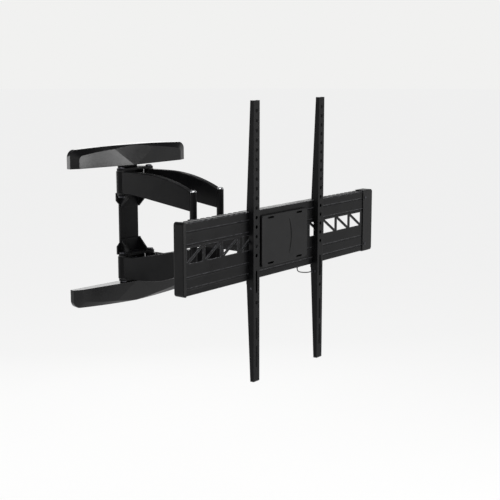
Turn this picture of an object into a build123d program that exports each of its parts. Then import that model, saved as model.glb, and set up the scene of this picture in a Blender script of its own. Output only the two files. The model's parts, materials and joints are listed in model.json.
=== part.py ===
from build123d import *
import math
import os

# Full motion wall mount for a large flat screen. Millimetres, +Z up, wall plane at y = 0,
# the screen side is -Y, and the origin is the middle of the wall plate's back.

# Clearances
running_gap = 0.05
loose_gap = 0.3
face_gap = 0.2
slip_gap = 0.4

# Wall rails and column
wall_rail_length = 442.0
wall_rail_height = 48.0
wall_rail_sheet = 3.0
wall_rail_flange = 11.0
wall_rail_corner = 27.0
wall_rail_level = 207.0
stud_spacing = 406.4
lag_slot_length = 24.0
lag_slot_radius = 4.5
spare_slot_spacing = 203.2
column_width = 72.0
column_sheet = 4.0
column_pad_width = 40.0
column_pad_height = 60.0
column_bolt_spread = 44.0
column_bolt_pitch = 22.0
column_bolt_radius = 3.0
bolt_head_radius = 6.0
bolt_head_height = 4.0

# Pivot brackets on the column
pivot_spacing = 110.0
pivot_out = 38.0
pivot_pin_radius = 6.0
pivot_head_radius = 10.0
pivot_head_height = 5.0
ear_inner_level = 88.0
ear_outer_level = 164.0
ear_sheet = 6.0
ear_nose_radius = 13.0
bracket_plate_width = 82.0
bracket_sheet = 5.0
bracket_tab_width = 12.0
bracket_tab_low = 58.0
bracket_cheek_depth = 18.5
gusset_spread = 72.0
gusset_foot_level = 48.0
gusset_tip_height = 8.0
gusset_front = 46.0
washer_thickness = 2.0
washer_radius = 13.0
bracket_bolt_spread = 36.0
bracket_bolt_pitch = 34.0
bracket_bolt_level = 129.0

# Wall plate covers
cover_length = 454.0
cover_inner_level = 178.0
cover_outer_level = 239.5
cover_wall = 2.5
cover_end_depth = 24.0
cover_middle_depth = 44.0
cover_arch = 7.3
cover_corner_radius = 24.0
cover_bevel_depth = 9.5
cover_face_inset = 7.5
cover_face_end_inset = 27.0
cover_face_arch = 18.0
cover_face_corner = 14.0
cover_brow_bottom = 0.7
cover_brow_top = 8.2

# Inner arms, wall pivot to elbow
inner_reach = 273.0
inner_angle = 7.0
arm_thickness = 20.0
arm_hub_radius = 15.0
arm_shoulder_run = 48.0
arm_back_run = 78.0
upper_tip_low = 63.0
upper_tip_high = 117.0
lower_tip_low = 46.0
lower_tip_high = 100.0
arm_edge_radius = 2.5
arm_sheet = 3.5
arm_root_solid = 22.0
arm_tip_solid = 24.0
post_radius = 10.5
post_over = 1.0
post_cap_height = 6.0
weld_length = 6.0
collar_radius = 17.0
collar_height = 6.0
bush_wall = 3.5

# Forearms, elbow to head
outer_reach = 205.0
outer_angle = 2.0
forearm_height = 62.0
forearm_barrel_wall = 5.0
wrist_barrel_radius = 16.0
wrist_pin_radius = 6.0
forearm_pocket_depth = 2.5
forearm_pocket_margin = 12.0

# Head carrier
carrier_sheet = 6.0
carrier_nose_radius = 13.0
carrier_web_width = 56.0
carrier_web_back = 6.0
carrier_web_sheet = 5.0
swivel_ahead = 24.0
swivel_nose_radius = 16.0
swivel_pin_radius = 7.0
pin_head_radius = 9.0
pin_head_height = 4.0

# Swivel block and tilt frame
swivel_angle = 5.5
swivel_barrel_radius = 12.0
tilt_ahead = 25.0
tilt_pin_radius = 5.0
cheek_spacing = 74.0
cheek_sheet = 6.0
cheek_radius = 11.0
block_plate_back = 7.0
block_plate_sheet = 5.0
block_plate_half_height = 30.0
tilt_lug_sheet = 6.0
tilt_lug_radius = 8.0
tilt_plate_sheet = 4.0
tilt_plate_inset = 2.0
tilt_plate_low = -44.0
tilt_plate_high = 62.0
knob_radius = 13.5
knob_length = 12.0
knob_flutes = 8
knob_flute_radius = 4.0
knob_flute_out = 2.0
knob_collar = 3.0
level_bolt_radius = 5.0
level_head_radius = 9.0
level_head_height = 4.0

# Rail across the screen brackets
rail_ahead = 68.0
rail_depth = 27.0
rail_length = 880.0
rail_height = 180.0
rail_rise = 12.0
rail_sheet = 3.0
ledge_depth = 1.8
ledge_height = 5.0
ledge_levels = (66.5, 35.0, -45.5, -74.0)
window_count = 4
window_width = 61.0
window_pitch = 70.0
window_first = 130.0
window_shift = 23.0
window_low = -11.0
window_high = 28.0
strut_width = 7.0
scallop_radius = 5.0
scallop_depth = 2.6
scallop_pitch = 22.0
scallop_first = 190.0
scallop_count = 11
spine_width = 196.0
spine_half_height = 58.0
spine_sheet = 3.0
left_cap_lip = 10.0
right_cap_lip = 52.0
cap_back_lip = 15.0
end_cap_wall = 2.0
end_cap_thickness = 4.6
end_cap_corner = 8.0
end_cap_radius = 2.0
cap_screw_inset = 40.0
cap_screw_level = 70.0
cap_screw_radius = 2.0
cap_screw_head = 4.0
cap_screw_length = 8.0

# Cover over the middle of the rail
centre_width = 212.0
centre_shift = 23.5
centre_low = -63.0
centre_high = 75.0
centre_depth = 8.0
centre_wall = 2.0
centre_radius = 10.0
centre_slot_length = 27.0
centre_slot_width = 5.0
centre_slot_inset = 40.0
centre_slot_drop = 8.0
crease_depth = 1.2
crease_height = 104.0
crease_bulge = 14.0
crease_width = 5.0
crease_place = 16.0
crease_level = 7.0

# Screen brackets
bracket_spacing = 300.0
bracket_shift = 12.5
screen_hole_spacing = 300.0
flange_width = 26.0
flange_ahead = 15.0
channel_sheet = 2.5
channel_top = 376.0
channel_bottom = -361.0
channel_end_depth = 11.0
channel_hook_depth = 23.0
hook_height = 8.0
screen_hole_radius = 5.0
hole_pitch = 25.0
hole_top = 350.0
hole_bottom = -25.0
long_slot_length = 60.0
long_slot_radius = 3.5
long_slot_levels = (-95.0, -220.0, -295.0)
foot_plug_height = 16.0
foot_lip = 3.0

# Latches under the rail
latch_pin_radius = 3.0
latch_pin_drop = 22.0
latch_pin_ahead = 6.0
latch_half_width = 9.0
latch_thickness = 8.0
latch_travel = 8.0
latch_arm_drop = 5.0
latch_catch = 5.0
latch_lead_in = 4.0
latch_tail = 30.0
latch_slot_margin = 1.0
latch_slot_reach = 4.0

# Tether between rail and right bracket
tether_radius = 1.5
tether_start = 63.0
tether_drop = 18.0
eyelet_radius = 4.0
eyelet_height = 5.0
tether_behind = 12.0
tether_ahead = 10.0
tether_route = ((0.0, 0.0, -6.5), (8.0, -1.0, -13.0), (26.0, -6.0, -16.5))
tether_straight = 16.0
bend_share = 0.45

os.makedirs("parts", exist_ok=True)


def block(x0, x1, y0, y1, z0, z1):
    """Box between two corners."""
    centre = Pos((x0 + x1) / 2, (y0 + y1) / 2, (z0 + z1) / 2)
    return centre * Box(abs(x1 - x0), abs(y1 - y0), abs(z1 - z0))


def rod_z(radius, z0, z1, x=0.0, y=0.0):
    """Upright cylinder from z0 to z1."""
    return Pos(x, y, (z0 + z1) / 2) * Cylinder(radius, abs(z1 - z0))


def rod_y(radius, y0, y1, x=0.0, z=0.0):
    """Cylinder along y from y0 to y1."""
    return Pos(x, (y0 + y1) / 2, z) * Rot(90, 0, 0) * Cylinder(radius, abs(y1 - y0))


def rod_x(radius, x0, x1, y=0.0, z=0.0):
    """Cylinder along x from x0 to x1."""
    return Pos((x0 + x1) / 2, y, z) * Rot(0, 90, 0) * Cylinder(radius, abs(x1 - x0))


def slot_y(length, radius, y0, y1, x, z, upright=False):
    """Round-ended slot cut along y."""
    half = length / 2 - radius
    if upright:
        ends = ((x, z - half), (x, z + half))
        middle = block(x - radius, x + radius, y0, y1, z - half, z + half)
    else:
        ends = ((x - half, z), (x + half, z))
        middle = block(x - half, x + half, y0, y1, z - radius, z + radius)
    return middle + rod_y(radius, y0, y1, *ends[0]) + rod_y(radius, y0, y1, *ends[1])


def ring(outer, inner, z0, z1, x=0.0, y=0.0):
    """Flat ring round an upright axis."""
    return rod_z(outer, z0, z1, x, y) - rod_z(inner, z0 - 1, z1 + 1, x, y)


def plate_xy(outline, z0, z1):
    """Flat plate from a plan outline."""
    return Pos(0, 0, z0) * extrude(outline, z1 - z0)


def prism_x(points, x0, x1):
    """Solid of a side outline given as (y, z), from x0 to x1."""
    face = make_face(Polyline(*[(x0, y, z) for y, z in points], close=True))
    return extrude(face, amount=x1 - x0, dir=(1, 0, 0))


def prism_y(points, y0, y1):
    """Solid of a front outline given as (x, z), from y0 to y1."""
    face = make_face(Polyline(*[(x, y0, z) for x, z in points], close=True))
    return extrude(face, amount=y1 - y0, dir=(0, 1, 0))


def corner_mask(length, low, high, radius, depth):
    """Front outline with its two far corners rounded, as a slab."""
    outline = Pos(0, (low + high) / 2) * Rectangle(length, high - low)
    far_corners = outline.vertices().sort_by(Axis.Y)[-2:]
    outline = fillet(far_corners, radius)
    return extrude(Plane.XZ * outline, depth)


def peaked_slab(length, end_depth, middle_depth, low, high):
    """Slab with a flat back at the wall and a front that slopes back from the middle to both ends."""
    half = length / 2
    outline = Polyline(
        (-half, 0), (-half, -end_depth), (0, -middle_depth), (half, -end_depth), (half, 0), close=True
    )
    return plate_xy(make_face(outline), low, high)


def flip(shape):
    """Mirror image below the middle level."""
    return mirror(shape, about=Plane.XY)


def other_side(shape):
    """Mirror image across the middle plane."""
    return mirror(shape, about=Plane.YZ)


def group(shapes):
    """Loose pieces of one kind as one node."""
    return Compound(children=[s for shape in shapes for s in shape.solids()])


def save(shape, name):
    export_step(shape, "parts/" + name + ".step")


# Positions of the upright axes at rest, with both arm stages leaning to the right.
pivot_x = pivot_spacing / 2
inner_lean = math.radians(inner_angle)
outer_lean = math.radians(outer_angle)
elbow_dx = inner_reach * math.sin(inner_lean)
elbow_y = -pivot_out - inner_reach * math.cos(inner_lean)
wrist_dx = elbow_dx + outer_reach * math.sin(outer_lean)
wrist_y = elbow_y - outer_reach * math.cos(outer_lean)
swivel_y = wrist_y - swivel_ahead

# Wall rails: pressed channels with an outer flange all along and an inner one beside the column.
rail_half = wall_rail_length / 2
rail_low = wall_rail_level - wall_rail_height / 2
rail_high = wall_rail_level + wall_rail_height / 2
column_half = column_width / 2
column_front = -wall_rail_sheet - column_sheet
wall_rail = block(-rail_half, rail_half, -wall_rail_sheet, 0, rail_low, rail_high)
wall_rail += block(-rail_half, rail_half, -wall_rail_flange, 0, rail_high - wall_rail_sheet, rail_high)
for side in (-1, 1):
    inner_end = side * (column_half + slip_gap)
    wall_rail += block(
        inner_end, side * rail_half, -wall_rail_flange, 0, rail_low, rail_low + wall_rail_sheet
    )
    for place in (stud_spacing / 2, spare_slot_spacing / 2):
        wall_rail -= slot_y(
            lag_slot_length, lag_slot_radius, -wall_rail_flange, 1, side * place, wall_rail_level
        )
wall_rail = wall_rail & corner_mask(
    wall_rail_length, rail_low, rail_high, wall_rail_corner, wall_rail_flange + 1
)
column_bolt_places = []
for side in (-1, 1):
    for step in (-1, 1):
        place = (side * column_bolt_spread / 2, wall_rail_level + step * column_bolt_pitch / 2)
        column_bolt_places.append(place)
        wall_rail -= rod_y(column_bolt_radius, -wall_rail_flange, 1, *place)
save(wall_rail, "wall_rail_upper")
save(flip(wall_rail), "wall_rail_lower")

# Column: shallow channel over both rails, its sides and a middle pad back against the wall.
column_end = rail_high - wall_rail_sheet - slip_gap
column = block(-column_half, column_half, column_front, -wall_rail_sheet, -column_end, column_end)
column += block(
    -column_pad_width / 2,
    column_pad_width / 2,
    -wall_rail_sheet,
    0,
    -column_pad_height / 2,
    column_pad_height / 2,
)
for side in (-1, 1):
    column += block(
        side * (column_half - column_sheet),
        side * column_half,
        column_front,
        0,
        -rail_low + slip_gap,
        rail_low - slip_gap,
    )
for x, z in column_bolt_places:
    for level in (z, -z):
        column -= rod_y(column_bolt_radius, column_front - 1, 1, x, level)
bracket_bolt_places = []
for side in (-1, 1):
    for step in (-1, 1):
        level = bracket_bolt_level + step * bracket_bolt_pitch / 2
        bracket_bolt_places.append((side * bracket_bolt_spread / 2, level))
for x, z in bracket_bolt_places:
    for level in (z, -z):
        column -= rod_y(column_bolt_radius, column_front - 1, 1, x, level)
save(column, "wall_column")

column_bolts = []
for x, z in column_bolt_places:
    bolt = rod_y(column_bolt_radius, column_front, 0, x, z)
    bolt += rod_y(bolt_head_radius, column_front - bolt_head_height, column_front, x, z)
    column_bolts.append(bolt)
    column_bolts.append(flip(bolt))
save(group(column_bolts), "column_bolts")

# Pivot brackets: back plate with a tab and a cheek on each side, two ears that carry both arm pins, and
# gussets toward the middle.
bracket_front = column_front - bracket_sheet
bracket_half = bracket_plate_width / 2
ear_inner_top = ear_inner_level + ear_sheet
ear_outer_top = ear_outer_level + ear_sheet
ear_plan = make_face(
    Polyline(
        (-bracket_half, column_front),
        (bracket_half, column_front),
        (pivot_x + ear_nose_radius, -pivot_out),
        (-pivot_x - ear_nose_radius, -pivot_out),
        close=True,
    )
)
ear_plan += Pos(0, -pivot_out - ear_nose_radius / 2) * Rectangle(pivot_spacing, ear_nose_radius)
for side in (-1, 1):
    ear_plan += Pos(side * pivot_x, -pivot_out) * Circle(ear_nose_radius)
bracket = block(
    -bracket_half, bracket_half, bracket_front, column_front, gusset_foot_level, ear_outer_top
)
bracket += plate_xy(ear_plan, ear_inner_level, ear_inner_top)
bracket += plate_xy(ear_plan, ear_outer_level, ear_outer_top)
gusset_outline = (
    (bracket_front, gusset_foot_level),
    (bracket_front, ear_inner_level),
    (-gusset_front, ear_inner_level),
    (-gusset_front, ear_inner_level - gusset_tip_height),
)
tab_edge = bracket_half + bracket_tab_width
for side in (-1, 1):
    tab_outline = (
        (side * bracket_half, bracket_tab_low),
        (side * tab_edge, bracket_tab_low + bracket_tab_width),
        (side * tab_edge, ear_inner_top),
        (side * bracket_half, ear_inner_top),
    )
    bracket += prism_y(tab_outline, bracket_front, column_front)
    bracket += block(
        side * (bracket_half - bracket_sheet),
        side * bracket_half,
        bracket_front - bracket_cheek_depth,
        bracket_front,
        ear_inner_level,
        ear_outer_top,
    )
    gusset_middle = side * gusset_spread / 2
    bracket += prism_x(
        gusset_outline, gusset_middle - bracket_sheet / 2, gusset_middle + bracket_sheet / 2
    )
    bracket -= rod_z(pivot_pin_radius, 0, ear_outer_top + 1, side * pivot_x, -pivot_out)
for x, z in bracket_bolt_places:
    bracket -= rod_y(column_bolt_radius, bracket_front - 1, 0, x, z)
save(bracket, "upper_pivot_bracket")
save(flip(bracket), "lower_pivot_bracket")

bracket_bolts = []
for x, z in bracket_bolt_places:
    bolt = rod_y(column_bolt_radius, bracket_front, -wall_rail_sheet, x, z)
    bolt += rod_y(bolt_head_radius, bracket_front - bolt_head_height, bracket_front, x, z)
    bracket_bolts.append(bolt)
    bracket_bolts.append(flip(bolt))
save(group(bracket_bolts), "bracket_bolts")

# Arm pins in the ears, with a retaining ring under each and flat washers beside the hubs.
pin_foot = ear_inner_level - pivot_head_height
ear_pin = rod_z(pivot_pin_radius, pin_foot, ear_outer_top)
ear_pin += rod_z(pivot_head_radius, ear_outer_top, ear_outer_top + pivot_head_height)
clip = ring(pivot_head_radius, pivot_pin_radius, pin_foot, ear_inner_level)
low_washer = ring(
    washer_radius, pivot_pin_radius + running_gap, ear_inner_top, ear_inner_top + washer_thickness
)
high_washer = ring(
    washer_radius, pivot_pin_radius + running_gap, ear_outer_level - washer_thickness, ear_outer_level
)
clips = []
washers = []
for side, name in ((-1, "left"), (1, "right")):
    place = Pos(side * pivot_x, -pivot_out, 0)
    save(place * ear_pin, name + "_upper_pin")
    save(flip(place * ear_pin), name + "_lower_pin")
    clips += [place * clip, flip(place * clip)]
    for washer in (low_washer, high_washer):
        washers += [place * washer, flip(place * washer)]
save(group(clips), "shoulder_clips")
save(group(washers), "shoulder_washers")

# Covers: shells over the wall rails, open at the back. Each half is a flat wing that slopes back to its
# end, bevelled down to an arched outer edge and a rounded far corner. A plane leaning back makes the brow
# between the wings.
cover_half = cover_length / 2
wing_slope = math.atan2(cover_middle_depth - cover_end_depth, cover_half)
wing_length = (cover_half + cover_end_depth * math.sin(wing_slope)) / math.cos(wing_slope)
wing_overrun = cover_middle_depth


def arched_outline(half, low, top, arch, corner):
    """Front outline with straight ends, an arched outer edge and rounded far corners."""
    shoulder = top - arch
    edge = ThreePointArc((-half, shoulder), (0, top), (half, shoulder))
    rest = Polyline((half, shoulder), (half, low), (-half, low), (-half, shoulder))
    outline = make_face(edge + rest)
    far_corners = outline.vertices().sort_by(Axis.Y)[-2:]
    return fillet(far_corners, corner)


wing_foot = cover_inner_level - wing_overrun
face_outline = arched_outline(
    wing_length - cover_face_end_inset,
    wing_foot,
    cover_outer_level - cover_face_inset,
    cover_face_arch,
    cover_face_corner,
)
rim_outline = arched_outline(wing_length, wing_foot, cover_outer_level, cover_arch, cover_corner_radius)
wing_front = Plane.XZ * face_outline
wing_rim = Pos(0, cover_bevel_depth, 0) * (Plane.XZ * rim_outline)
wing = loft([wing_front, wing_rim], ruled=True)
wing += extrude(wing_rim, -2 * cover_middle_depth)
wing = Pos(0, -cover_middle_depth, 0) * Rot(0, 0, -math.degrees(wing_slope)) * wing
wing = wing & block(
    -cover_half, 0, -cover_middle_depth, 0, cover_inner_level, cover_outer_level
)
cover_outer = wing + other_side(wing)
brow_rise = cover_outer_level - cover_inner_level
brow_lean = math.degrees(math.atan2(cover_brow_top - cover_brow_bottom, brow_rise))
brow = block(-cover_half, cover_half, -cover_middle_depth, 0, -brow_rise, 2 * brow_rise)
cover_outer -= (
    Pos(0, cover_brow_bottom - cover_middle_depth, cover_inner_level) * Rot(-brow_lean, 0, 0) * brow
)
cover_hollow = peaked_slab(
    cover_length - 2 * cover_wall,
    cover_end_depth - cover_bevel_depth - cover_wall,
    cover_middle_depth - cover_bevel_depth - cover_wall,
    cover_inner_level + cover_wall,
    cover_outer_level - cover_wall,
)
hollow_outline = arched_outline(
    cover_half - cover_wall,
    cover_inner_level + cover_wall,
    cover_outer_level - cover_wall,
    cover_arch,
    cover_corner_radius - cover_wall,
)
cover_hollow = cover_hollow & extrude(Plane.XZ * hollow_outline, cover_middle_depth)
cover = cover_outer - cover_hollow
cover -= block(
    -column_half - slip_gap,
    column_half + slip_gap,
    column_front - slip_gap,
    1,
    cover_inner_level - 1,
    cover_inner_level + cover_wall + 1,
)
save(cover, "upper_cover")
save(flip(cover), "lower_cover")

# Inner arms: a folded bar above and below, open on the inside edge, welded to a round elbow post.
hub_low = ear_inner_top + washer_thickness + face_gap
hub_high = ear_outer_level - washer_thickness - face_gap
arm_end = inner_reach - weld_length


def arm_bar(tip_low, tip_high):
    """Bar above the middle level, from the wall pivot along x to a tip between two levels."""
    side_line = Polyline(
        (arm_back_run, hub_high),
        (0, hub_high),
        (0, hub_low),
        (arm_shoulder_run, hub_low),
        (inner_reach, tip_low),
        (inner_reach, tip_high),
    )
    back_curve = TangentArc((arm_back_run, hub_high), (inner_reach, tip_high), tangent=(1, 0))
    bar = extrude(Plane.XZ * make_face(side_line + back_curve), arm_thickness / 2, both=True)
    bar -= block(arm_end, inner_reach + 1, -arm_thickness, arm_thickness, 0, hub_high)
    hollow = Pos(0, 0, -arm_sheet) * bar
    hollow = hollow & block(
        arm_root_solid,
        inner_reach - arm_tip_solid,
        -arm_thickness / 2 + arm_sheet,
        arm_thickness / 2 - arm_sheet,
        0,
        hub_high,
    )
    back_edges = [e for e in bar.edges() if e.center().Z > tip_high and e.length > inner_reach / 2]
    bar = fillet(back_edges, arm_edge_radius)
    bar -= hollow
    bar += rod_z(arm_hub_radius, hub_low, hub_high)
    bar -= rod_z(pivot_pin_radius + running_gap, hub_low - 1, hub_high + 1)
    bar -= rod_z(post_radius, 0, hub_high, inner_reach, 0)
    return bar


upper_bar = arm_bar(upper_tip_low, upper_tip_high)
lower_bar = flip(arm_bar(lower_tip_low, lower_tip_high))
post_top = upper_tip_high + post_over
post_bottom = -lower_tip_high - post_over
post = rod_z(post_radius, post_bottom, post_top)
dome = rod_z(post_radius, 0, post_cap_height)
dome = fillet(dome.faces().sort_by(Axis.Z)[-1].edges(), post_cap_height - 1)
post_caps = [Pos(0, 0, post_top) * dome, Pos(0, 0, post_bottom) * flip(dome)]
collar_base = forearm_height / 2 + washer_thickness + face_gap
collar = ring(collar_radius, post_radius, collar_base, collar_base + collar_height)
for side, name in ((-1, "left"), (1, "right")):
    stand = Pos(side * pivot_x, -pivot_out, 0) * Rot(0, 0, inner_angle - 90)
    save(stand * upper_bar, name + "_upper_arm")
    save(stand * lower_bar, name + "_lower_arm")
    elbow = Pos(side * pivot_x + elbow_dx, elbow_y, 0)
    save(elbow * post, name + "_elbow_post")
    save(group([elbow * cap for cap in post_caps]), name + "_post_caps")
    save(group([elbow * collar, flip(elbow * collar)]), name + "_elbow_collars")

# Elbow bushes on the posts.
bush_half = collar_base - face_gap
bush_outer = post_radius + running_gap + bush_wall
bush_fits = {"left": running_gap, "right": loose_gap}
for side, name in ((-1, "left"), (1, "right")):
    bush = ring(bush_outer, post_radius + bush_fits[name], -bush_half, bush_half)
    save(Pos(side * pivot_x + elbow_dx, elbow_y, 0) * bush, name + "_elbow_bush")

# Forearms: one deep bar each at the middle level, open below, with a barrel at both ends.
forearm_half = forearm_height / 2
barrel_bore = bush_outer + running_gap
barrel_radius = barrel_bore + forearm_barrel_wall
forearm = block(0, outer_reach, -arm_thickness / 2, arm_thickness / 2, -forearm_half, forearm_half)
pocket_start = barrel_radius + forearm_pocket_margin
pocket_end = outer_reach - wrist_barrel_radius - forearm_pocket_margin
for side in (-1, 1):
    forearm -= block(
        pocket_start,
        pocket_end,
        side * (arm_thickness / 2 - forearm_pocket_depth),
        side * arm_thickness,
        -forearm_half + forearm_pocket_margin,
        forearm_half - forearm_pocket_margin,
    )
forearm -= block(
    barrel_radius + forearm_barrel_wall,
    outer_reach - wrist_barrel_radius - forearm_barrel_wall,
    -arm_thickness / 2 + forearm_pocket_depth + arm_sheet,
    arm_thickness / 2 - forearm_pocket_depth - arm_sheet,
    -forearm_half - 1,
    forearm_half - arm_sheet,
)
forearm += rod_z(barrel_radius, -forearm_half, forearm_half)
forearm += rod_z(wrist_barrel_radius, -forearm_half, forearm_half, outer_reach, 0)
forearm -= rod_z(barrel_bore, -forearm_half - 1, forearm_half + 1)
wrist_fits = {"left": running_gap, "right": loose_gap}
for side, name in ((-1, "left"), (1, "right")):
    wrist_bore = wrist_pin_radius + wrist_fits[name]
    bored = forearm - rod_z(wrist_bore, -forearm_half - 1, forearm_half + 1, outer_reach, 0)
    elbow = Pos(side * pivot_x + elbow_dx, elbow_y, 0) * Rot(0, 0, outer_angle - 90)
    save(elbow * bored, name + "_forearm")

# Head carrier: two plates on a web, holding both wrist pins and the swivel pin.
carrier_low = forearm_half + washer_thickness + 2 * face_gap
carrier_high = carrier_low + carrier_sheet
carrier_plan = Rectangle(pivot_spacing, 2 * carrier_nose_radius)
for side in (-1, 1):
    carrier_plan += Pos(side * pivot_x, 0) * Circle(carrier_nose_radius)
carrier_plan += Pos(0, -swivel_ahead) * Circle(swivel_nose_radius)
carrier_plan += make_face(
    Polyline(
        (-carrier_web_width / 2, -carrier_nose_radius),
        (carrier_web_width / 2, -carrier_nose_radius),
        (swivel_nose_radius, -swivel_ahead),
        (-swivel_nose_radius, -swivel_ahead),
        close=True,
    )
)
carrier = plate_xy(carrier_plan, carrier_low, carrier_high)
carrier += plate_xy(carrier_plan, -carrier_high, -carrier_low)
carrier += block(
    -carrier_web_width / 2,
    carrier_web_width / 2,
    -carrier_web_back - carrier_web_sheet,
    -carrier_web_back,
    -carrier_high,
    carrier_high,
)
for side in (-1, 1):
    carrier -= rod_z(wrist_pin_radius, -carrier_high - 1, carrier_high + 1, side * pivot_x, 0)
carrier -= rod_z(swivel_pin_radius, -carrier_high - 1, carrier_high + 1, 0, -swivel_ahead)
at_carrier = Pos(wrist_dx, wrist_y, 0)
save(at_carrier * carrier, "head_carrier")

wrist_pin = rod_z(wrist_pin_radius, -carrier_high - pin_head_height, carrier_high)
wrist_pin += rod_z(pin_head_radius, carrier_high, carrier_high + pin_head_height)
swivel_pin = rod_z(swivel_pin_radius, -carrier_high - pin_head_height, carrier_high)
swivel_pin += rod_z(pin_head_radius, carrier_high, carrier_high + pin_head_height)
wrist_washer = ring(
    washer_radius, wrist_pin_radius, carrier_low - washer_thickness, carrier_low
)
wrist_washers = []
for side, name in ((-1, "left"), (1, "right")):
    at_wrist = Pos(side * pivot_x + wrist_dx, wrist_y, 0)
    save(at_wrist * wrist_pin, name + "_wrist_pin")
    wrist_washers += [at_wrist * wrist_washer, flip(at_wrist * wrist_washer)]
save(group(wrist_washers), "wrist_washers")
save(Pos(wrist_dx, swivel_y, 0) * swivel_pin, "swivel_pin")

# Swivel block on the swivel pin, with two cheeks that hold the tilt pin across.
at_head = Pos(wrist_dx, swivel_y, 0) * Rot(0, 0, swivel_angle)
block_half = carrier_low - face_gap
cheek_inner = cheek_spacing / 2 - cheek_sheet / 2
cheek_outer = cheek_spacing / 2 + cheek_sheet / 2
block_plate_front = block_plate_back + block_plate_sheet
swivel_block = rod_z(swivel_barrel_radius, -block_half, block_half)
swivel_block += block(
    -swivel_barrel_radius,
    swivel_barrel_radius,
    -block_plate_front,
    0,
    -block_plate_half_height,
    block_plate_half_height,
)
swivel_block += block(
    -cheek_outer,
    cheek_outer,
    -block_plate_front,
    -block_plate_back,
    -block_plate_half_height,
    block_plate_half_height,
)
for side in (-1, 1):
    swivel_block += rod_x(cheek_radius, side * cheek_inner, side * cheek_outer, -tilt_ahead)
    swivel_block += block(
        side * cheek_inner, side * cheek_outer, -tilt_ahead, -block_plate_back, -cheek_radius, cheek_radius
    )
swivel_block -= rod_z(swivel_pin_radius + running_gap, -block_half - 1, block_half + 1)
swivel_block -= rod_x(tilt_pin_radius, -cheek_outer - 1, cheek_outer + 1, -tilt_ahead)
save(at_head * swivel_block, "swivel_block")

tilt_pin = rod_x(tilt_pin_radius, -cheek_outer - knob_length, cheek_outer + knob_length, -tilt_ahead)
save(at_head * tilt_pin, "tilt_pin")
tilt_knobs = []
for side in (-1, 1):
    knob = rod_x(knob_radius, side * cheek_outer, side * (cheek_outer + knob_length), -tilt_ahead)
    knob -= rod_x(tilt_pin_radius, side * cheek_inner, side * (cheek_outer + knob_length + 1), -tilt_ahead)
    flute_start = side * (cheek_outer + knob_collar)
    flute_end = side * (cheek_outer + knob_length + 1)
    for flute in range(knob_flutes):
        turn = 2 * math.pi * flute / knob_flutes
        flute_y = -tilt_ahead + (knob_radius + knob_flute_out) * math.cos(turn)
        flute_z = (knob_radius + knob_flute_out) * math.sin(turn)
        knob -= rod_x(knob_flute_radius, flute_start, flute_end, flute_y, flute_z)
    tilt_knobs.append(knob)
save(at_head * group(tilt_knobs), "tilt_knobs")

# Tilt frame: plate behind the rail with two lugs on the tilt pin, inside the cheeks.
rail_front = -rail_ahead
rail_back = rail_front + rail_depth
tilt_front = rail_back + loose_gap
tilt_back = tilt_front + tilt_plate_sheet
lug_outer = cheek_inner - face_gap
lug_inner = lug_outer - tilt_lug_sheet
tilt_plate_half = cheek_outer - tilt_plate_inset
tilt_frame = block(
    -tilt_plate_half, tilt_plate_half, tilt_front, tilt_back, tilt_plate_low, tilt_plate_high
)
for side in (-1, 1):
    tilt_frame += rod_x(tilt_lug_radius, side * lug_inner, side * lug_outer, -tilt_ahead)
    tilt_frame += block(
        side * lug_inner, side * lug_outer, tilt_back, -tilt_ahead, -tilt_lug_radius, tilt_lug_radius
    )
tilt_frame -= rod_x(tilt_pin_radius + running_gap, -cheek_outer, cheek_outer, -tilt_ahead)
tilt_frame -= rod_y(level_bolt_radius, tilt_front - 1, tilt_back + 1, 0, rail_rise)
save(at_head * tilt_frame, "tilt_frame")

# Level bolt: the rail turns on it a few degrees to be set straight.
spine_front = rail_back - spine_sheet
level_bolt = rod_y(level_bolt_radius, spine_front - face_gap, tilt_back, 0, rail_rise)
level_bolt += rod_y(
    level_head_radius, spine_front - face_gap - level_head_height, spine_front - face_gap, 0, rail_rise
)
level_bolt += rod_y(level_head_radius, tilt_back, tilt_back + level_head_height, 0, rail_rise)
save(at_head * level_bolt, "level_bolt")

# Rail panel: ledged front sheet with turned-back lips, braced windows and a scalloped top edge.
at_rail = at_head * Pos(0, 0, rail_rise)
panel_half = rail_length / 2 - end_cap_thickness - face_gap
rail_half_height = rail_height / 2
sheet_back = rail_front + rail_sheet
panel = block(-panel_half, panel_half, rail_front, sheet_back, -rail_half_height, rail_half_height)
for side in (-1, 1):
    panel += block(
        -panel_half,
        panel_half,
        rail_front,
        rail_back,
        side * (rail_half_height - rail_sheet),
        side * rail_half_height,
    )
for level in ledge_levels:
    ledge_top = level + ledge_height / 2
    ledge_bottom = level - ledge_height / 2
    ledge_cut = (
        (rail_front - 1, ledge_top),
        (rail_front + ledge_depth, ledge_top),
        (rail_front, ledge_bottom),
        (rail_front - 1, ledge_bottom),
    )
    panel -= prism_x(ledge_cut, -panel_half - 1, panel_half + 1)
window_height = window_high - window_low
strut_slant = math.hypot(window_width, window_height)
strut_across = strut_width / 2 * strut_slant / window_height
strut_up = strut_width / 2 * strut_slant / window_width
for step in range(window_count):
    near = window_first + step * window_pitch
    far = near + window_width
    upper_gap = ((near + strut_across, window_high), (far, window_high), (far, window_low + strut_up))
    lower_gap = ((near, window_high - strut_up), (near, window_low), (far - strut_across, window_low))
    for outline in (upper_gap, lower_gap):
        gap = prism_y(outline, rail_front - 1, sheet_back + 1)
        panel -= Pos(-window_shift, 0, 0) * gap
        panel -= Pos(-window_shift, 0, 0) * other_side(gap)
scallops = []
scallop_level = rail_half_height + scallop_radius - scallop_depth
for step in range(scallop_count):
    place = scallop_first + step * scallop_pitch
    for side in (-1, 1):
        notch = rod_y(scallop_radius, rail_front - 1, rail_back + 1, side * place, scallop_level)
        scallops.append(notch)
panel -= scallops
cap_screw_places = []
for step in (-1, 1):
    cap_screw_places.append((rail_length / 2 - cap_screw_inset, step * cap_screw_level))
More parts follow.
